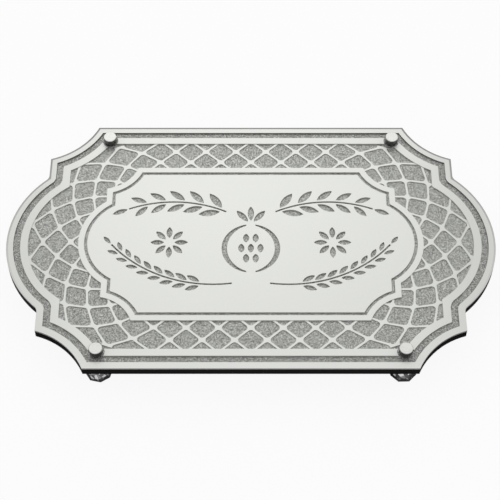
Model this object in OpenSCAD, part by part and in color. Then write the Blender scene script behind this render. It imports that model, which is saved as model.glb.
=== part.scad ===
// Serving tray for braided bread. A black board carries a glitter ground and a silver face in three
// pieces: a rim, a cut fretwork border and a pierced centre panel. Four faceted feet are bolted
// through the board to round caps. Millimetres, +X along the length, front at -Y, table at Z = 0.

/* [Tray] */
// Overall length from end to end
tray_len = 419; // [349:1:503]
// Overall depth from front to back
tray_wid = 251; // [209:1:302]

/* [Outline] */
// How far each round end stands out past the shoulders
end_out = 31.4; // [20:0.1:45]
// Radius of the round ends
end_r = 89.5; // [75:0.5:110]
// Length of each scooped corner along the long side
scoop_len = 41; // [34:0.1:50]
// Depth of each scooped corner along the end
scoop_wid = 35.9; // [30:0.1:44]
// Radius of the scooped corners
scoop_r = 64.5; // [50:0.5:90]

/* [Border] */
// Width of the outer rim
rim_w = 6; // [4:0.1:8]
// Width of the open channel between rim and band
channel_w = 5.9; // [4:0.1:8]
// Width of the fretwork's outer band
band_w = 6.6; // [4:0.1:8]
// Width of the fretwork's inner frame
frame_w = 5.1; // [3:0.1:7]
// Open groove round the centre panel
groove_w = 2.7; // [1.5:0.1:4]
// From the long edge of the tray to the panel opening
border_side = 50.9; // [46:0.1:62]
// From the end of the tray to the panel opening
border_end = 66.5; // [60:0.1:80]

/* [Panel opening] */
// How far each round end of the opening stands out
open_end_out = 22; // [16:0.1:28]
// Radius of the opening's round ends
open_end_r = 47; // [40:0.5:56]
// Length of the opening's corners along the long side
open_scoop_len = 25; // [20:0.1:30]
// Depth of the opening's corners along the end
open_scoop_wid = 21.9; // [18:0.1:26]
// Radius of the opening's corners
open_scoop_r = 39.5; // [30:0.5:60]

/* [Net] */
// Width of one cell along the straight sides
cell_pitch = 26.7; // [22:0.1:32]
// Step from one ring of crossings to the next
ring_step = 11.8; // [9.9:0.1:14.2]
// Cells round each half-circle end
end_cells = 9; // [7:1:11]
// How much further out the net's turning centres would lie in a true stadium
net_end_gap = 3.8; // [0:0.1:8]
// Width of the net's bars
bar_w = 1.8; // [1.2:0.1:2.6]
// Corner radius of a cell
cell_round = 3; // [1.5:0.1:4]
// How near to a cap the net stops short of the band
net_clear_r = 17; // [14:0.5:20]

/* [Layers] */
// Thickness of the black board
board_t = 7; // [5.8:0.1:8.4]
// Thickness of the glitter sheet
ground_t = 0.5; // [0.3:0.1:1]
// Thickness of the silver face sheets
face_t = 1.5; // [1:0.1:3]
// Height of the net's bars, which lie lower than the band and the frame
net_t = 0.8; // [0.4:0.1:0.9]

/* [Studs] */
// From the scooped corner to the stud along the long side
stud_in = 10.9; // [8.5:0.1:14]
// From the long edge to the stud
stud_edge = 15.5; // [12.5:0.1:18.6]
// Diameter of a cap
cap_d = 11.2; // [9.6:0.1:14]
// Height of a cap above the face
cap_h = 6.5; // [5:0.1:9]
// Chamfer on the cap's edges
cap_edge = 0.5; // [0.3:0.1:1]
// Diameter of the spacer under a cap
spacer_d = 9.4; // [8:0.1:11]
// Open ring round a cap in the fretwork
cap_gap = 1.3; // [1:0.1:2]
// Diameter of the threaded stem
stem_d = 5; // [4:0.1:6]
// How far the stem enters the cap
stem_in_cap = 4.2; // [3:0.1:4.5]
// How far the stem enters the foot
stem_in_foot = 10; // [8:0.1:14]
// Radial play of the thread in cap and foot
thread_play = 0.1; // [0.05:0.01:0.15]
// Radial play of the stem in board, sheet, spacer and collar
hole_play = 0.25; // [0.1:0.05:0.4]
// Free space beyond each end of the stem
tip_gap = 0.3; // [0.2:0.1:0.5]

/* [Feet] */
// Clear height from the table to the board
stand_h = 25; // [21:0.5:30]
// Sides of the faceted foot
foot_sides = 8; // [6:1:10]
// Width of the foot over its corners
foot_d = 23.4; // [19.5:0.1:28]
// Width of the foot's flat underside
foot_table_d = 16; // [13:0.1:19]
// Width of the foot's top
foot_top_d = 12.4; // [11:0.1:14.5]
// Height of the widest edge above the table
girdle_z = 4.2; // [3:0.1:6]
// Thickness of the widest edge
girdle_h = 0.7; // [0.4:0.1:1.2]
// Upright land at the foot's top and underside
foot_land = 0.4; // [0.2:0.1:0.6]
// Height of the metal collar between foot and board
collar_h = 3; // [2:0.1:4]
// Diameter of the collar at the board
collar_d = 15; // [13:0.1:18]
// Diameter of the soft pad under the foot
pad_d = 10; // [8:0.1:12]
// Thickness of the pad
pad_h = 1.2; // [1:0.1:2]
// How far the pad stands out of the foot
pad_out = 0.6; // [0.3:0.1:0.8]
// Radial play of the pad in its recess
pad_play = 0.1; // [0.05:0.05:0.3]

/* [Ornament] */
// Length of a wheat grain
grain_len = 13; // [10:0.1:15]
// Width of a wheat grain
grain_wid = 5; // [3.5:0.1:6]
// Pairs of grains on an ear
grain_pairs = 8; // [5:1:9]
// Length of a leaf
leaf_len = 19; // [14:0.1:22]
// Width of a leaf
leaf_wid = 6.8; // [5:0.1:8]
// Pairs of leaves on a twig
leaf_pairs = 5; // [3:1:6]
// Width of the cut stalks
stalk_w = 1.5; // [1:0.1:2]
// Metal left between a stalk and the grains or leaves beside it
bridge_w = 1.5; // [1:0.1:2.5]
// Radius of the fruit in the middle
fruit_r = 25; // [21:0.5:29]
// Thickness of the cut that outlines the fruit
fruit_line = 4.5; // [3:0.1:5]
// Length of a seed in the fruit
seed_len = 9; // [7:0.1:10]
// Width of a seed in the fruit
seed_wid = 5.2; // [4:0.1:6]
// Length of a petal in the fruit's crown
petal_len = 15; // [11:0.1:18]
// Width of a petal in the fruit's crown
petal_wid = 5.4; // [4:0.1:6]
// Radius of the two rosettes
rosette_r = 16; // [14:0.5:18]
// Petals of a rosette
rosette_petals = 8; // [6:1:8]
// Width of a petal of a rosette
rosette_wid = 5; // [3.5:0.1:6]

/* [Hidden] */
$fn = 96;

half_len = tray_len / 2;
half_wid = tray_wid / 2;
open_half_len = half_len - border_end;
open_half_wid = half_wid - border_side;
panel_half_len = open_half_len - groove_w;
panel_half_wid = open_half_wid - groove_w;
band_out = rim_w + channel_w;
band_in = band_out + band_w;

// One outline holds its half length, half width, end bulge, end radius, and its corners' length, depth
// and radius.
TRAY = [half_len, half_wid, end_out, end_r, scoop_len, scoop_wid, scoop_r];
OPENING = [open_half_len, open_half_wid, open_end_out, open_end_r,
    open_scoop_len, open_scoop_wid, open_scoop_r];

board_z = stand_h;
ground_z = board_z + board_t;
face_z = ground_z + ground_t;
face_top = face_z + face_t;
cap_r = cap_d / 2;
stem_r = stem_d / 2;
foot_z = pad_out;
foot_top = stand_h - collar_h;
stem_z0 = foot_top - stem_in_foot;
stem_z1 = face_top + stem_in_cap;
stud_x = half_len - end_out - scoop_len - stud_in;
stud_y = half_wid - stud_edge;

// Corner name, side along X, side along Y, and how far its foot is turned when it is tight.
CORNERS = [
    ["front_left", -1, -1, 10],
    ["front_right", 1, -1, 24],
    ["back_left", -1, 1, -12],
    ["back_right", 1, 1, 16],
];

// The net runs round a stadium: along the front and back, and round a half circle at each end.
net_x = half_len - half_wid - net_end_gap;
side_steps = 2 * max(1, round(net_x / (cell_pitch / 2)));
side_step = 2 * net_x / side_steps;
end_steps = 2 * end_cells;
net_steps = 2 * (side_steps + end_steps);
first_ring = -1;
last_ring = 4;
clear_ring = 3;
arc_parts = 4;

// The ornament is drawn for a panel of this half length and half width, and follows the panel's size.
drawn_half_len = 140.3;
drawn_half_wid = 71.9;
ornament_scale = min(panel_half_len / drawn_half_len, panel_half_wid / drawn_half_wid);

// Where the stalks run on the panel: centre, radius, and the angles where they start and end.
EAR = [[32, 70], 114, 262, 320];
ear_bare = 0.24;
grain_tilt = 24;
TWIG = [[67, -62], 104, 116, 68];
twig_bare = 0.06;
leaf_tilt = 32;
tip_scale = 0.72;
fruit_y = -7;
fruit_bridge = 8;
petal_angles = [50, 90, 130];
petal_start = 4;
seed_rows = [2, 3, 2];
rosette_at = [70, -1];
rosette_heart = 4.5;

// Centre of the circle of radius r that passes a and b, on the left of the way from a to b.
function arc_centre(a, b, r) =
    let (chord = norm(b - a), rise = sqrt(r * r - chord * chord / 4))
    (a + b) / 2 + rise * [a[1] - b[1], b[0] - a[0]] / chord;

// Cartouche outline s moved in by inset: long straight sides, scooped corners, shoulders and round ends.
module cartouche(s, inset = 0) {
    shoulder = s[0] - s[2];
    scoop_c = arc_centre([shoulder - s[4], s[1]], [shoulder, s[1] - s[5]], s[6]);
    difference() {
        union() {
            square(2 * [shoulder - inset, s[1] - inset], center = true);
            for (sx = [-1, 1])
                translate([sx * (s[0] - s[3]), 0])
                    circle(s[3] - inset);
        }
        for (sx = [-1, 1], sy = [-1, 1])
            translate([sx * scoop_c[0], sy * scoop_c[1]])
                circle(s[6] + inset);
    }
}

// Point of the net at step u round the stadium and distance r from its spine.
function net_at(u, r) =
    u < side_steps ? [u * side_step - net_x, r] :
    u < side_steps + end_steps ?
        let (t = 180 * (u - side_steps) / end_steps) [net_x + r * sin(t), r * cos(t)] :
    u < 2 * side_steps + end_steps ? [net_x - (u - side_steps - end_steps) * side_step, -r] :
    let (t = 180 * (u - 2 * side_steps - end_steps) / end_steps) [-net_x - r * sin(t), -r * cos(t)];

// True where step u lies on a straight side of the net.
function on_side(u) = u < side_steps || (u >= side_steps + end_steps && u < 2 * side_steps + end_steps);

function wrap(u) = (u + net_steps) % net_steps;

// One cell, round step u and ring radius r: a rhombus drawn in by half a bar, with rounded corners, bent
// along the net.
function cell(u, r) =
    let (
        step = on_side(u) ? side_step : r * PI / end_steps,
        shrink = 1 - bar_w / 2 * norm([step, ring_step]) / (step * ring_step),
        a = step * shrink,
        b = ring_step * shrink,
        edge = norm([a, b]),
        lean = atan2(a, b),
        centres = [
            [a - cell_round * edge / b, 0],
            [0, b - cell_round * edge / a],
            [cell_round * edge / b - a, 0],
            [0, cell_round * edge / a - b]
        ],
        starts = [-lean, lean, 180 - lean, 180 + lean],
        sweeps = [2 * lean, 180 - 2 * lean, 2 * lean, 180 - 2 * lean]
    )
    [for (k = [0:3], i = [0:arc_parts])
        let (
            t = starts[k] + sweeps[k] * i / arc_parts,
            p = centres[k] + cell_round * [cos(t), sin(t)]
        )
        net_at(wrap(u + p[0] / step), r + p[1])];

module net_cells() {
    for (j = [first_ring:last_ring], u = [0:net_steps - 1])
        if ((u + j) % 2 == 0)
            polygon(cell(u, open_half_wid + j * ring_step));
}

// Near a cap the net stops at a ring of crossings, so bare ground lies between its bars and the band.
module net_clearings() {
    difference() {
        at_studs()
            circle(net_clear_r);
        for (sx = [-1, 1])
            translate([sx * net_x, 0])
                circle(open_half_wid + clear_ring * ring_step + bar_w / 2);
    }
}

module at_studs() {
    for (c = CORNERS)
        at_stud(c)
            children();
}

module at_stud(c) {
    translate([c[1] * stud_x, c[2] * stud_y])
        children();
}

// Leaf shape of two equal arcs, pointing along +X from its origin.
module lens(length, width) {
    r = (length * length + width * width) / (4 * width);
    translate([length / 2, 0])
        intersection_for (side = [-1, 1])
            translate([0, side * (r - width / 2)])
                circle(r);
}

// Curved stalk along an arc of the panel, with pairs of leaves from the share bare of its way to its end
// and one more leaf at its tip. The leaves get smaller towards the tip.
module spray(arc, bare, pairs, length, width, tilt) {
    turn = arc[3] > arc[2] ? 90 : -90;
    intersection() {
        difference() {
            translate(arc[0])
                circle(arc[1] + stalk_w / 2);
            translate(arc[0])
                circle(arc[1] - stalk_w / 2);
        }
        polygon([arc[0], for (a = [arc[2], arc[3]]) arc[0] + 2 * arc[1] * [cos(a), sin(a)]]);
    }
    for (i = [0:pairs - 1]) {
        share = bare + (1 - bare) * i / pairs;
        a = arc[2] + (arc[3] - arc[2]) * share;
        small = 1 + (tip_scale - 1) * share;
        translate(arc[0] + arc[1] * [cos(a), sin(a)])
            rotate(a + turn)
                for (side = [-1, 1])
                    translate([0, side * (stalk_w / 2 + bridge_w)])
                        rotate(side * tilt)
                            lens(small * length, small * width);
    }
    translate(arc[0] + arc[1] * [cos(arc[3]), sin(arc[3])])
        rotate(arc[3] + turn)
            translate([bridge_w, 0])
                lens(tip_scale * length, tip_scale * width);
}

// Round fruit with a crown of petals: two crescents for its sides, and rows of seeds between them.
module fruit() {
    for (side = [-1, 1])
        intersection() {
            difference() {
                circle(fruit_r);
                translate([-side * fruit_line, 0])
                    circle(fruit_r);
            }
            translate([side * (fruit_bridge / 2 + fruit_r), 0])
                square(2 * fruit_r, center = true);
        }
    for (row = [0:len(seed_rows) - 1], i = [0:seed_rows[row] - 1])
        translate([
            (i - (seed_rows[row] - 1) / 2) * (seed_wid + 2 * bridge_w),
            (row - (len(seed_rows) - 1) / 2) * (seed_len + bridge_w) - seed_len / 2
        ])
            rotate(90)
                lens(seed_len, seed_wid);
    for (a = petal_angles)
        translate([0, fruit_r])
            rotate(a)
                translate([petal_start, 0])
                    lens(petal_len, petal_wid);
}

// Ring of petals round a plain heart.
module rosette() {
    for (i = [0:rosette_petals - 1])
        rotate(i * 360 / rosette_petals)
            translate([rosette_heart, 0])
                lens(rosette_r - rosette_heart, rosette_wid);
}

module ornament() {
    translate([0, fruit_y])
        fruit();
    for (side = [0, 1])
        mirror([side, 0, 0]) {
            spray(EAR, ear_bare, grain_pairs, grain_len, grain_wid, grain_tilt);
            spray(TWIG, twig_bare, leaf_pairs, leaf_len, leaf_wid, leaf_tilt);
            translate(rosette_at)
                rosette();
        }
}

module layer(z, h) {
    translate([0, 0, z])
        linear_extrude(h)
            children();
}

module base_board() {
    color("#141414")
        layer(board_z, board_t)
            difference() {
                cartouche(TRAY);
                at_studs()
                    circle(stem_r + hole_play);
            }
}

module glitter_sheet() {
    color("#8f918c")
        layer(ground_z, ground_t)
            difference() {
                cartouche(TRAY);
                at_studs()
                    circle(stem_r + hole_play);
            }
}

module outer_rim() {
    color("#dfe0dc")
        layer(face_z, face_t)
            difference() {
                cartouche(TRAY);
                cartouche(TRAY, rim_w);
            }
}

// Where the net lies, between the band and the inner frame.
module net_field() {
    difference() {
        cartouche(TRAY, band_in);
        cartouche(OPENING, -frame_w);
    }
}

// The whole border inside the channel, with room round each cap.
module fretwork_sheet() {
    difference() {
        cartouche(TRAY, band_out);
        cartouche(OPENING);
        at_studs()
            circle(cap_r + cap_gap);
    }
}

// Band, net and inner frame in one piece. The net lies lower than the band and the frame.
module fretwork() {
    color("#e2e3df") {
        layer(face_z, net_t)
            difference() {
                fretwork_sheet();
                intersection() {
                    net_field();
                    union() {
                        net_cells();
                        net_clearings();
                    }
                }
            }
        layer(face_z + net_t, face_t - net_t)
            difference() {
                fretwork_sheet();
                net_field();
            }
    }
}

module centre_panel() {
    color("#e6e7e4")
        layer(face_z, face_t)
            difference() {
                cartouche(OPENING, groove_w);
                scale(ornament_scale)
                    ornament();
            }
}

module foot_pad(c) {
    color("#c9c9c4")
        at_stud(c)
            cylinder(h = pad_h, d = pad_d);
}

// Cut like a gem: flat facets from the top and from the underside to one sharp girdle.
module foot(c) {
    land_turn = 90 / foot_sides;
    color("#8f9092")
        at_stud(c)
            rotate(c[3])
                difference() {
                    hull() {
                        translate([0, 0, foot_z])
                            rotate(land_turn)
                                cylinder(h = foot_land, d = foot_table_d, $fn = 2 * foot_sides);
                        translate([0, 0, girdle_z])
                            cylinder(h = girdle_h, d = foot_d, $fn = foot_sides);
                        translate([0, 0, foot_top - foot_land])
                            rotate(land_turn)
                                cylinder(h = foot_land, d = foot_top_d, $fn = 2 * foot_sides);
                    }
                    cylinder(h = pad_h, d = pad_d + 2 * pad_play);
                    translate([0, 0, stem_z0 - tip_gap])
                        cylinder(h = foot_top, r = stem_r + thread_play);
                }
}

module foot_collar(c) {
    bore_r = stem_r + hole_play;
    color("#b9babb")
        at_stud(c)
            translate([0, 0, foot_top])
                rotate_extrude()
                    polygon([
                        [bore_r, 0],
                        [foot_top_d / 2, 0],
                        [collar_d / 2, collar_h / 2],
                        [collar_d / 2, collar_h],
                        [bore_r, collar_h]
                    ]);
}

module stem(c) {
    color("#a5a6a8")
        at_stud(c)
            translate([0, 0, stem_z0])
                cylinder(h = stem_z1 - stem_z0, r = stem_r);
}

module spacer(c) {
    color("#4a4a4c")
        at_stud(c)
            translate([0, 0, face_z])
                difference() {
                    cylinder(h = face_t, d = spacer_d);
                    translate([0, 0, -face_t])
                        cylinder(h = 3 * face_t, r = stem_r + hole_play);
                }
}

module stud_cap(c) {
    bore_r = stem_r + thread_play;
    bore_top = stem_in_cap + tip_gap;
    color("#d8d9d6")
        at_stud(c)
            translate([0, 0, face_top])
                rotate_extrude()
                    polygon([
                        [bore_r, 0],
                        [cap_r - cap_edge, 0],
                        [cap_r, cap_edge],
                        [cap_r, cap_h - cap_edge],
                        [cap_r - cap_edge, cap_h],
                        [0, cap_h],
                        [0, bore_top],
                        [bore_r, bore_top]
                    ]);
}

base_board();
glitter_sheet();
outer_rim();
fretwork();
centre_panel();
for (c = CORNERS) {
    foot_pad(c);
    foot(c);
    foot_collar(c);
    stem(c);
    spacer(c);
    stud_cap(c);
}
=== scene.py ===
"""The looks of a serving tray for braided bread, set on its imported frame. Metres, +Z up, front at -Y."""

import math

import bpy
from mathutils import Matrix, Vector


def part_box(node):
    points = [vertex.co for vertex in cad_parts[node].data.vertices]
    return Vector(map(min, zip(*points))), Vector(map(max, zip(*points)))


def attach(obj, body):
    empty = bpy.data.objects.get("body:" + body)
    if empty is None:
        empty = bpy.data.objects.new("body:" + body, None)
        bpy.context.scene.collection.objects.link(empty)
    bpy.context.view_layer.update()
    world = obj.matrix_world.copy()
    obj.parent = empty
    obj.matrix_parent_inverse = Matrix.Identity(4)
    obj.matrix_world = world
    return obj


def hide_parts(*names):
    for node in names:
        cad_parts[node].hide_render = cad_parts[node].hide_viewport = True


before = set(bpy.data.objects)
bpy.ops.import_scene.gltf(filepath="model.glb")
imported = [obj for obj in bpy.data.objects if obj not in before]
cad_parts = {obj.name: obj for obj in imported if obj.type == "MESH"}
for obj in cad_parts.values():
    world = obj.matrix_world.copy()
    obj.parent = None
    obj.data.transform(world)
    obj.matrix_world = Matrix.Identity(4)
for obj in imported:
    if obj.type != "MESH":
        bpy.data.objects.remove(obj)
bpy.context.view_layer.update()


# Base board: a 7 mm board sawn to the tray's scooped outline and lacquered black all over, edge included.
# Everything else is laid on it or bolted through it. The saw leaves the notches between its shoulders
# and its round ends a little rounded.
half_len, half_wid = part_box("base_board")[1][:2]
end_r = 0.0895
end_depth = 0.0314
shoulder = half_len - end_depth
notch_reach = 0.0028
board_edge = 0.0003


def own_copy(node):
    """A piece that stands for a CAD node, in its place, so that its shape can be worked further."""
    piece = bpy.data.objects.new(node + "_rounded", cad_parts[node].data.copy())
    bpy.context.scene.collection.objects.link(piece)
    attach(piece, "root")
    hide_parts(node)
    return piece


def round_notches(piece, inset, reach):
    """Rounds the notches that lie this far inside the tray's edge, over this reach each way."""
    near = 0.0001
    notch_x = shoulder - inset
    notch_y = math.sqrt((end_r - inset) ** 2 - (notch_x - half_len + end_r) ** 2)
    notches = piece.vertex_groups.new(name=f"notches_{len(piece.vertex_groups)}")
    for point in piece.data.vertices:
        if math.hypot(abs(point.co.x) - notch_x, abs(point.co.y) - notch_y) < near:
            notches.add([point.index], 1, "REPLACE")
    rounding = piece.modifiers.new(notches.name, "BEVEL")
    rounding.width = reach
    rounding.segments = 6
    rounding.limit_method = "VGROUP"
    rounding.vertex_group = notches.name


def put_on(node, material, edge, notches=()):
    """Gives a node its finish and breaks its sharp edges. With rounded notches, a copy stands for it."""
    piece = own_copy(node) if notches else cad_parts[node]
    for slot in piece.material_slots:
        slot.material = material
    weld = piece.modifiers.new("weld", "WELD")
    weld.merge_threshold = 1e-6
    if notches:
        whole = piece.modifiers.new("whole_faces", "DECIMATE")
        whole.decimate_type = "DISSOLVE"
        whole.angle_limit = math.radians(0.3)
    for inset, reach in notches:
        round_notches(piece, inset, reach)
    bevel = piece.modifiers.new("broken_edge", "BEVEL")
    bevel.width = edge
    bevel.segments = 2
    bevel.limit_method = "ANGLE"
    bevel.angle_limit = math.radians(40)
    bevel.use_clamp_overlap = True
    bevel.harden_normals = True


class Wire:
    """A socket in the nodes of a finish. Sums with other wires and with numbers add Math nodes."""

    def __init__(self, tree, socket=None):
        self.tree = tree
        self.socket = socket

    def node(self, kind, settings, inputs, output=0):
        """Adds a node, with its settings first and then the number, colour or wire of each input."""
        made = self.tree.nodes.new(kind)
        for name, value in settings.items():
            setattr(made, name, value)
        for name, value in inputs.items():
            if isinstance(value, Wire):
                self.tree.links.new(value.socket, made.inputs[name])
            else:
                made.inputs[name].default_value = value
        return Wire(self.tree, made.outputs[output] if made.outputs else None)

    def maths(self, operation, first, second):
        """A Math node on two wires or numbers."""
        return self.node("ShaderNodeMath", {"operation": operation}, {0: first, 1: second})

    def __add__(self, other):
        return self.maths("ADD", self, other)

    def __radd__(self, other):
        return self.maths("ADD", other, self)

    def __sub__(self, other):
        return self.maths("SUBTRACT", self, other)

    def __rsub__(self, other):
        return self.maths("SUBTRACT", other, self)

    def __mul__(self, other):
        return self.maths("MULTIPLY", self, other)

    def __rmul__(self, other):
        return self.maths("MULTIPLY", other, self)

    def __gt__(self, other):
        return self.maths("GREATER_THAN", self, other)

    def rise(self, low, high):
        """0 where this wire is below low, 1 where it is above high, and a straight rise between."""
        return self.node("ShaderNodeMapRange", {}, {"Value": self, "From Min": low, "From Max": high})

    def vector(self, operation, other=(0, 0, 0), output="Vector"):
        """A Vector Math node on the vector that this wire holds and another one."""
        return self.node("ShaderNodeVectorMath", {"operation": operation}, {0: self, 1: other}, output)

    def axis(self, name):
        """The X, Y or Z of the vector that this wire holds."""
        return self.node("ShaderNodeSeparateXYZ", {}, {"Vector": self}, name)

    def mix(self, low, high):
        """The colour low where this wire is 0, and the colour high where it is 1."""
        return self.node("ShaderNodeMix", {"data_type": "RGBA"}, {"Factor": self, 6: low, 7: high}, 2)

    def noise(self, scale, detail):
        """Soft noise of about this many blotches to the metre, on the place that this wire holds."""
        inputs = {"Vector": self, "Scale": scale, "Detail": detail}
        return self.node("ShaderNodeTexNoise", {}, inputs, "Fac")

    def bump(self, strength, depth):
        """The normal of a surface that has this wire as its relief, at most this deep."""
        inputs = {"Strength": strength, "Distance": depth, "Height": self}
        return self.node("ShaderNodeBump", {}, inputs)


def new_finish(name):
    """A material with no nodes yet, the start of its wires, and the place on the object."""
    material = bpy.data.materials.new(name)
    material.use_nodes = True
    material.node_tree.nodes.clear()
    start = Wire(material.node_tree)
    return material, start, start.node("ShaderNodeTexCoord", {}, {}, "Object")


def close_finish(start, **inputs):
    """Ends a finish in one Principled shader with these inputs, whose names have _ for a space."""
    named = {name.replace("_", " "): value for name, value in inputs.items()}
    shader = start.node("ShaderNodeBsdfPrincipled", {}, named)
    start.node("ShaderNodeOutputMaterial", {}, {"Surface": shader})


lacquer, start, place = new_finish("black_lacquer")
orange_peel = place.noise(900, 2)
haze = place.noise(35, 4)
close_finish(
    start,
    Base_Color=haze.mix((0.0025, 0.0025, 0.0025, 1), (0.005, 0.005, 0.0045, 1)),
    Roughness=0.5 + 0.12 * haze,
    Specular_IOR_Level=0.02,
    Normal=orange_peel.bump(0.08, 0.0002),
)
put_on("base_board", lacquer, board_edge, [(0, notch_reach)])


# Glitter sheet: a thin plastic sheet with silver glitter set in clear lacquer, glued all over the board.
# It is the grey ground that shows wherever the silver face is cut away. Its colour is painted a little
# darker in the channel along the tray's edge, as shade.
scoop_len = 0.041
scoop_dip = 0.0359
scoop_r = 0.0645
channel_in = 0.0119
glitter_edge = 0.0001
flakes_per_metre = 2300.0

scoop_from = Vector((shoulder - scoop_len, half_wid))
scoop_to = Vector((shoulder, half_wid - scoop_dip))
scoop_chord = scoop_to - scoop_from
scoop_mid = (scoop_from + scoop_to) / 2
scoop_rise = math.sqrt(scoop_r**2 - scoop_chord.length_squared / 4) / scoop_chord.length
scoop_x = scoop_mid.x - scoop_rise * scoop_chord.y
scoop_y = scoop_mid.y + scoop_rise * scoop_chord.x


def inward(place):
    """How far a place lies inside the tray's outline."""
    flat = place.vector("ABSOLUTE").vector("MULTIPLY", (1, 1, 0))
    from_side = place.maths("MINIMUM", shoulder - flat.axis("X"), half_wid - flat.axis("Y"))
    from_end = end_r - flat.vector("DISTANCE", (half_len - end_r, 0, 0), "Value")
    from_scoop = flat.vector("DISTANCE", (scoop_x, scoop_y, 0), "Value") - scoop_r
    return place.maths("MINIMUM", place.maths("MAXIMUM", from_end, from_side), from_scoop)


def upward(start):
    """How far the surface faces up: 1 on a top, and 0 on an upright wall."""
    return start.node("ShaderNodeNewGeometry", {}, {}, "Normal").axis("Z")


glitter, start, place = new_finish("silver_glitter")
# painted shade: the glitter is darkened in the channel along the tray's edge
channel_shade = 1 - inward(place).rise(channel_in, 1.1 * channel_in)
flakes = start.node("ShaderNodeTexVoronoi", {}, {"Vector": place, "Scale": flakes_per_metre}, "Color")
tilt = start.node("ShaderNodeSeparateColor", {}, {"Color": flakes}, "Red")
clumps = place.noise(700, 2)
drift = place.noise(9, 3)
level = 0.05 + tilt * tilt * 0.9 + 1.1 * (clumps - 0.5) + 0.1 * (drift - 0.5) - 0.1 * channel_shade
ground = level.mix((0.128, 0.130, 0.121, 1), (0.725, 0.738, 0.698, 1))
close_finish(
    start,
    Base_Color=(upward(start) > 0.5).mix((0.05, 0.05, 0.05, 1), ground),
    Metallic=0.3,
    Roughness=0.5 - 0.2 * tilt,
    Coat_Weight=0.2,
    Coat_Roughness=0.25,
)
put_on("glitter_sheet", glitter, glitter_edge, [(0, notch_reach)])


# Silver face: a rim, a fretwork with its net, and a panel that takes the bread, cut from one satin silver
# sheet and glued on the glitter. The cut walls are painted darker, as shade, most of all the rim's. So are
# the round ends, as shade where the lamp's light falls off, and a line along its outer edge is painted
# dark as shade, most of all at the back.
rim_in = 0.006
rim_notch_reach = 0.0035
band_notch_reach = 0.005
face_edge = 0.00015
edge_shade_width = 0.0012
edge_shade_front = -0.07
edge_shade_back = 0.11
end_shade_from = 0.135
end_shade_to = 0.185

silver, start, place = new_finish("satin_silver")
edge_in = inward(place)
# painted shade: a dark line along the outer edge, strongest at the back
edge_shade = (1 - edge_in.rise(edge_shade_width, 1.6 * edge_shade_width)) * place.axis("Y").rise(edge_shade_front, edge_shade_back)
# painted shade: the round ends are darker, where the lamp's light falls off
end_shade = place.vector("ABSOLUTE").axis("X").rise(end_shade_from, end_shade_to)
top = upward(start).rise(0.5, 0.85)
satin = place.noise(2600, 2)
fleck = place.noise(650, 3)
cloud = place.noise(14, 3)
shine = (0.5 * cloud + 0.5 * fleck).mix((0.67, 0.68, 0.648, 1), (0.745, 0.753, 0.725, 1))
end_shaded_tone = end_shade.mix(shine, (0.632, 0.640, 0.612, 1))
tone = edge_shade.mix(end_shaded_tone, (0.25, 0.251, 0.244, 1))
# painted shade: the cut walls are coloured darker than the top, the rim's darkest
wall_shade = (edge_in > 1.5 * rim_in).mix((0.27, 0.272, 0.26, 1), (0.60, 0.603, 0.585, 1))
close_finish(
    start,
    Base_Color=top.mix(wall_shade, tone),
    Metallic=0.5,
    Roughness=0.36 + 0.06 * cloud + 0.05 * (satin - 0.5) + 0.15 * edge_shade,
    Normal=satin.bump(0.06, 0.0001),
)
put_on("outer_rim", silver, face_edge, [(0, notch_reach), (rim_in, rim_notch_reach)])
put_on("fretwork", silver, face_edge, [(channel_in, band_notch_reach)])
put_on("centre_panel", silver, face_edge)


# Feet: four cast feet with flat facets like a gem's, plated and polished. Their colour is painted nearly
# black towards the table, as shade, and in random bright and dark patches higher up, as painted
# reflections of the facets. Each foot is screwed on a stem that comes down through the board.
corners = ("front_left", "front_right", "back_left", "back_right")
foot_edge = 0.00015
foot_shade_black_to = 0.0062
foot_shade_clear_from = 0.0090
ragged = 0.002
cuts_per_metre = 330.0

plated, start, place = new_finish("plated_foot")
cuts = start.node("ShaderNodeTexVoronoi", {}, {"Vector": place, "Scale": cuts_per_metre}, "Color")
cut_tone = start.node("ShaderNodeSeparateColor", {}, {"Color": cuts}, "Red")
cut_depth = start.node("ShaderNodeTexVoronoi", {}, {"Vector": place, "Scale": cuts_per_metre}, "Distance")
# painted shade: nearly black towards the table, fading out higher up
above_foot_shade = (place.axis("Z") + ragged * (cut_tone - 0.5)).rise(foot_shade_black_to, foot_shade_clear_from)
# painted reflections: random bright and dark patches, one per facet cell
painted_glints = above_foot_shade * (0.08 + 0.92 * cut_tone * cut_tone)
close_finish(
    start,
    Base_Color=painted_glints.mix((0.030, 0.029, 0.031, 1), (0.66, 0.66, 0.665, 1)),
    Metallic=1.0,
    Roughness=0.2 - 0.12 * above_foot_shade + 0.06 * place.noise(500, 3),
    Normal=cut_depth.bump(0.5, 0.0012),
)
for corner in corners:
    put_on("foot_" + corner, plated, foot_edge)


# Foot pads: soft clear discs pressed into a recess under each foot, so that it doesn't scratch the table.
# A pale bloom lies on them in patches.
pad_edge = 0.0002

rubber, start, place = new_finish("clear_pad")
bloom = place.noise(700, 3)
close_finish(
    start,
    Base_Color=bloom.mix((0.62, 0.62, 0.60, 1), (0.74, 0.74, 0.72, 1)),
    Roughness=0.55 + 0.2 * bloom,
)
for corner in corners:
    put_on("foot_pad_" + corner, rubber, pad_edge)


# Collars: turned and polished metal collars between the feet and the board, which spread the load on it.
# Wiping has left the polish a little uneven.
collar_edge = 0.0002

polish, start, place = new_finish("polished_collar")
wipe = place.noise(400, 3)
close_finish(
    start,
    Base_Color=wipe.mix((0.52, 0.525, 0.53, 1), (0.60, 0.605, 0.61, 1)),
    Metallic=1.0,
    Roughness=0.12 + 0.1 * wipe,
)
for corner in corners:
    put_on("foot_collar_" + corner, polish, collar_edge)


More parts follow.
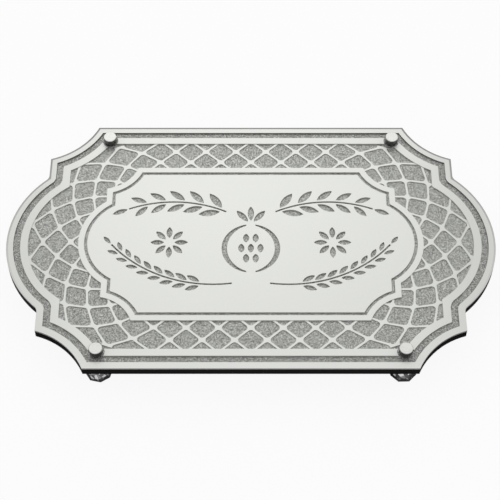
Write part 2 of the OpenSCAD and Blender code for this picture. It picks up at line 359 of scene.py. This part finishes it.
# Stems: steel rods with a rolled thread, from each foot through its collar, the board, the glitter sheet
# and the spacer into the cap. The other pieces hide them, so their thread is only relief in the finish,
# with its grooves painted darker as shade.
stem_edge = 0.0003
thread_scale = 62.0

thread, start, place = new_finish("rolled_thread")
banding = {"Vector": place, "Scale": thread_scale}
turns = start.node("ShaderNodeTexWave", {"bands_direction": "Z"}, banding, "Fac")
close_finish(
    start,
    # painted shade: the thread's grooves are coloured darker than its crests
    Base_Color=turns.mix((0.26, 0.26, 0.26, 1), (0.55, 0.55, 0.55, 1)),
    Metallic=1.0,
    Roughness=0.3 + 0.15 * place.noise(900, 2),
    Normal=turns.bump(0.7, 0.0004),
)
for corner in corners:
    put_on("stem_" + corner, thread, stem_edge)


# Spacers: dark polished rings under the caps, slipped over the stems. They stand on the glitter sheet and
# are as thick as the face, so that a thin shadow runs round under each cap. Their near-black colour paints
# that shade darker still.
spacer_edge = 0.0001

ring, start, place = new_finish("dark_ring")
smoke = place.noise(600, 3)
close_finish(
    start,
    # near black, which adds painted shade in the gap under each cap
    Base_Color=smoke.mix((0.03, 0.03, 0.03, 1), (0.06, 0.06, 0.06, 1)),
    Metallic=0.8,
    Roughness=0.3 + 0.15 * smoke,
)
for corner in corners:
    put_on("spacer_" + corner, ring, spacer_edge)


# Caps: round metal cap nuts, screwed down on the stems to close the bolts on the face. Each has a satin
# top, left by the lathe, and polished sides, whose colour is painted nearly black as the shade and dark
# reflection they show.
cap_edge = 0.00015

cap, start, place = new_finish("cap_metal")
top = upward(start).rise(0.4, 0.8)
lathe = place.noise(700, 3)
tone = lathe.mix((0.56, 0.565, 0.54, 1), (0.78, 0.785, 0.76, 1))
close_finish(
    start,
    # painted shade: the sides are coloured nearly black, the top light
    Base_Color=top.mix((0.10, 0.10, 0.095, 1), tone),
    Metallic=0.9,
    Roughness=0.24 + 0.14 * top + 0.06 * lathe,
)
for corner in corners:
    put_on("stud_cap_" + corner, cap, cap_edge)


# Studio: a pale floor under a pale sky, both shown nearly white, with one broad lamp above and behind the
# tray. A small share of the floor's own tone still shows, and the tray's shadow with it. The sky is shown
# as bright as the open floor, so that no horizon shows between them.
floor_size = 12
floor_drop = 0.0001
floor_share = 0.08
floor_tone = 0.64
sky_light = 0.80
sky_slope = 0.44
lamp_place = Vector((-0.06, 0.70, 0.84))

bpy.context.scene.view_settings.view_transform = "Standard"


def mirrored_rays(start):
    """1 on the rays that show the studio off a gloss or through glass."""
    glossy = start.node("ShaderNodeLightPath", {}, {}, "Is Glossy Ray")
    through = start.node("ShaderNodeLightPath", {}, {}, "Is Transmission Ray")
    return start.maths("MAXIMUM", glossy, through)


bpy.ops.mesh.primitive_plane_add(size=floor_size, location=(0, 0, -floor_drop))
floor = bpy.context.object
floor.name = "studio_floor"
pale, start, place = new_finish("studio_floor")
beyond = place.vector("ABSOLUTE").vector("SUBTRACT", (half_len, half_wid, 0))
clear_floor = start.maths("MAXIMUM", beyond.axis("X"), beyond.axis("Y")) > 0.0
straight = start.node("ShaderNodeLightPath", {}, {}, "Is Camera Ray")
seen = start.maths("MAXIMUM", straight, mirrored_rays(start) * clear_floor)
matt = start.node("ShaderNodeBsdfDiffuse", {}, {"Color": (0.8, 0.8, 0.8, 1)})
white = start.node("ShaderNodeEmission", {}, {"Color": (1, 1, 1, 1), "Strength": 1.0})
blend = start.node("ShaderNodeMixShader", {}, {0: (1 - floor_share) * seen, 1: matt, 2: white})
start.node("ShaderNodeOutputMaterial", {}, {"Surface": blend})
floor.data.materials.append(pale)

world = bpy.data.worlds.new("studio_sky")
bpy.context.scene.world = world
world.use_nodes = True
world.node_tree.nodes.clear()
start = Wire(world.node_tree)
behind = start.node("ShaderNodeTexCoord", {}, {}, "Generated").axis("Y")
light = sky_light + sky_slope * behind
fill = start.node("ShaderNodeBackground", {}, {"Color": (1, 1, 1, 1), "Strength": light})
straight = start.node("ShaderNodeLightPath", {}, {}, "Is Camera Ray")
shown = 1 - (1 - floor_tone) * floor_share * straight
white = start.node("ShaderNodeBackground", {}, {"Color": (1, 1, 1, 1), "Strength": shown})
seen = start.maths("MAXIMUM", straight, mirrored_rays(start))
blend = start.node("ShaderNodeMixShader", {}, {0: seen, 1: fill, 2: white})
start.node("ShaderNodeOutputWorld", {}, {"Surface": blend})

lamp = bpy.data.lights.new("softbox", "AREA")
lamp.shape = "RECTANGLE"
lamp.size = 0.6
lamp.size_y = 0.3
lamp.energy = 0.62
softbox = bpy.data.objects.new("softbox", lamp)
bpy.context.scene.collection.objects.link(softbox)
softbox.location = lamp_place
softbox.rotation_euler = (-lamp_place).to_track_quat("-Z", "Y").to_euler()


# Camera: in front of the tray and 55 degrees above its plane, as far off as the photograph's perspective
# tells. The focal length is measured in pixels of the photograph, which is square.
camera_rise = math.radians(55)
camera_far = 1.284
focal_px = 1498
photo_px = 500
face_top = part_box("outer_rim")[1].z

lens = bpy.data.cameras.new("camera")
lens.sensor_width = 36
lens.lens = lens.sensor_width * focal_px / photo_px
lens.shift_x = -0.0018
lens.shift_y = -0.0173
camera = bpy.data.objects.new("camera", lens)
bpy.context.scene.collection.objects.link(camera)
camera.location = (0, -camera_far * math.cos(camera_rise), face_top + camera_far * math.sin(camera_rise))
camera.rotation_euler = (math.pi / 2 - camera_rise, 0, 0)
bpy.context.scene.camera = camera
